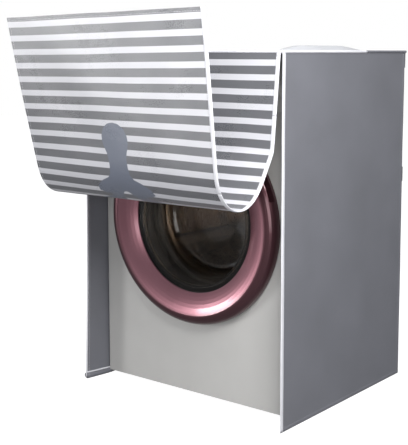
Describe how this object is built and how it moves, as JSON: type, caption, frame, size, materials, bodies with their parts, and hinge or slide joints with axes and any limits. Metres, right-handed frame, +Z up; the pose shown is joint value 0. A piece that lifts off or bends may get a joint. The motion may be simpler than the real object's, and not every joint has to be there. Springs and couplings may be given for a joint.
{
  "type": "washing machine in a cloth dust cover",
  "caption": "Front-loading washing machine with a hinged porthole door, spinning drum and detergent drawer, in a fitted cloth dust cover whose striped front flap folds up.",
  "frame": {"origin": "on the floor, at the middle of the whole footprint (cover, connections and raised flap)", "axes": "+X right seen from the front, +Y from the front to the back, +Z up"},
  "size_m": [0.6108, 0.8202, 0.9468],
  "materials": {
    "white_paint": "baked enamel",
    "worktop_laminate": "satin",
    "zinc_sheet": "zinc plated",
    "dark_paint": "matt",
    "black_rubber": "matt",
    "white_moulding": "fine grain",
    "smoked_window": "polished",
    "circuit_board": "lacquered",
    "grey_button": "satin",
    "rose_moulding": "metallic lacquer",
    "white_nylon": "moulded",
    "dark_moulding": "moulded",
    "door_glass": "clear",
    "steel_pin": "ground",
    "grey_rubber": "smooth",
    "stainless_steel": "brushed",
    "lifter_moulding": "moulded",
    "cast_aluminium": "die cast",
    "tub_moulding": "moulded",
    "bearing_steel": "ground",
    "motor_steel": "matt",
    "heater_steel": "drawn",
    "concrete": "cast",
    "spring_steel": "wound",
    "damper_moulding": "moulded",
    "pump_moulding": "moulded",
    "cover_cloth": "woven",
    "white_binding": "woven tape",
    "striped_cloth": "printed satin weave"
  },
  "bodies": {
    "machine": {"cabinet_shell": "white_paint", "front_panel": "white_paint", "worktop": "worktop_laminate", "back_service_panel": "zinc_sheet", "door_hinge_bracket": "zinc_sheet", "base_tray": "dark_paint", "levelling_feet": "black_rubber", "drive_belt": "black_rubber", "bellows_hoses": "black_rubber", "control_fascia": "white_moulding", "drawer_housing": "white_moulding", "display_window": "smoked_window", "control_board": "circuit_board", "inlet_valve": "white_nylon", "door_lock": "dark_moulding", "door_hinge_pin": "steel_pin", "door_gasket": "grey_rubber", "tub_front": "tub_moulding", "tub_rear": "tub_moulding", "drum_bearings": "bearing_steel", "drive_motor": "motor_steel", "heater": "heater_steel", "counterweights": "concrete", "suspension_springs": "spring_steel", "dampers": "damper_moulding", "drain_pump": "pump_moulding", "drain_pipe": "pump_moulding", "cover_top": "cover_cloth", "cover_right_panel": "cover_cloth", "cover_left_panel": "cover_cloth", "cover_back_straps": "cover_cloth", "cover_binding": "white_binding"},
    "door": {"door_ring": "rose_moulding", "door_frame": "dark_moulding", "door_glass": "door_glass", "door_grip": "dark_moulding", "hook_pin": "steel_pin", "door_hinge_arm": "zinc_sheet"},
    "door_latch_hook": {"door_hook": "zinc_sheet"},
    "drum": {"drum_front": "stainless_steel", "drum_wrapper": "stainless_steel", "drum_back": "stainless_steel", "drum_lifters": "lifter_moulding", "drum_spider": "cast_aluminium", "drum_pulley": "cast_aluminium"},
    "motor_rotor": {"motor_pulley": "motor_steel"},
    "drawer": {"detergent_drawer": "white_moulding", "siphon_cap": "white_moulding"},
    "knob": {"programme_knob": "white_moulding"},
    "power_key": {"power_button": "grey_button"},
    "start_key": {"start_button": "rose_moulding"},
    "option_key_1": {"option_button_1": "grey_button"},
    "option_key_2": {"option_button_2": "grey_button"},
    "flap_seam_strip_body": {"flap_seam_strip": "striped_cloth"},
    "flap_upper_body": {"flap_upper": "striped_cloth"},
    "flap_fold_1_body": {"flap_fold_1": "striped_cloth"},
    "flap_fold_2_body": {"flap_fold_2": "striped_cloth"},
    "flap_fold_3_body": {"flap_fold_3": "striped_cloth"},
    "flap_fold_4_body": {"flap_fold_4": "striped_cloth"},
    "flap_lower_body": {"flap_lower": "striped_cloth"}
  },
  "joints": [
    {"name": "door_swing", "type": "hinge", "parent": "machine", "child": "door", "pos_m": [-0.251, -0.09486, 0.448], "axis": [0, 0, -1], "range_deg": [0, 105]},
    {"name": "door_hook_spring", "type": "hinge", "parent": "door", "child": "door_latch_hook", "pos_m": [0.197, -0.09386, 0.448], "axis": [0, 0, 1], "range_deg": [0, 8], "stiffness_Nm_per_rad": 0.05},
    {"name": "drum_spin", "type": "hinge", "parent": "machine", "child": "drum", "pos_m": [0, 0.15014, 0.448], "axis": [0, 1, 0], "continuous": true},
    {"name": "motor_spin", "type": "hinge", "parent": "machine", "child": "motor_rotor", "pos_m": [0.092, 0.36214, 0.112], "axis": [0, 1, 0], "continuous": true},
    {"name": "drawer_slide", "type": "slide", "parent": "machine", "child": "drawer", "axis": [0, -1, 0], "range_m": [0, 0.18]},
    {"name": "programme_turn", "type": "hinge", "parent": "machine", "child": "knob", "pos_m": [-0.038, -0.08986, 0.786], "axis": [0, -1, 0], "continuous": true},
    {"name": "power_press", "type": "slide", "parent": "machine", "child": "power_key", "axis": [0, 1, 0], "range_m": [0, 0.0015], "stiffness_N_per_m": 400},
    {"name": "start_press", "type": "slide", "parent": "machine", "child": "start_key", "axis": [0, 1, 0], "range_m": [0, 0.0015], "stiffness_N_per_m": 400},
    {"name": "option_press_1", "type": "slide", "parent": "machine", "child": "option_key_1", "axis": [0, 1, 0], "range_m": [0, 0.0015], "stiffness_N_per_m": 400},
    {"name": "option_press_2", "type": "slide", "parent": "machine", "child": "option_key_2", "axis": [0, 1, 0], "range_m": [0, 0.0015], "stiffness_N_per_m": 400},
    {"name": "flap_lift", "type": "hinge", "parent": "machine", "child": "flap_seam_strip_body", "pos_m": [0, -0.15486, 0.8571], "axis": [-1, 0, 0], "range_deg": [-6.55, 20], "deforming": ["flap_seam_strip"]},
    {"name": "flap_carry", "type": "hinge", "parent": "flap_seam_strip_body", "child": "flap_upper_body", "pos_m": [0, -0.15692, 0.83922], "axis": [-1, 0.0013, -0.0002], "range_deg": [0, 126], "deforming": ["flap_upper"]},
    {"name": "flap_unroll", "type": "hinge", "parent": "flap_upper_body", "child": "flap_fold_1_body", "pos_m": [0, -0.18839, 0.59742], "axis": [0.9995, -0.0305, 0.0039], "range_deg": [-4, 32.98], "deforming": ["flap_fold_1"]},
    {"name": "fold_2_unroll", "type": "hinge", "parent": "flap_fold_1_body", "child": "flap_fold_2_body", "pos_m": [0, -0.21288, 0.5432], "axis": [0.9984, -0.0543, 0.0147], "range_deg": [-5.5, 37.48], "deforming": ["flap_fold_2"]},
    {"name": "fold_3_unroll", "type": "hinge", "parent": "flap_fold_2_body", "child": "flap_fold_3_body", "pos_m": [0, -0.26714, 0.51784], "axis": [0.9979, -0.0595, 0.0258], "range_deg": [-5.5, 37.48], "deforming": ["flap_fold_3"]},
    {"name": "fold_4_unroll", "type": "hinge", "parent": "flap_fold_3_body", "child": "flap_fold_4_body", "pos_m": [-0.00056, -0.3216, 0.54268], "axis": [0.9978, -0.0652, 0.0133], "range_deg": [-5.5, 37.48], "deforming": ["flap_fold_4"]},
    {"name": "fold_5_unroll", "type": "hinge", "parent": "flap_fold_4_body", "child": "flap_lower_body", "pos_m": [-0.00135, -0.34781, 0.59631], "axis": [0.9965, -0.0834, 0.0044], "range_deg": [-5.5, 37.48], "deforming": ["flap_lower"]}
  ],
  "couplings": [
    {"joint": "motor_spin", "follows": "drum_spin", "ratio": 13.8},
    {"joint": "flap_carry", "follows": "door_swing", "ratio": 1.2},
    {"joint": "fold_2_unroll", "follows": "flap_unroll", "ratio": 1},
    {"joint": "fold_3_unroll", "follows": "flap_unroll", "ratio": 1},
    {"joint": "fold_4_unroll", "follows": "flap_unroll", "ratio": 1},
    {"joint": "fold_5_unroll", "follows": "flap_unroll", "ratio": 1}
  ]
}
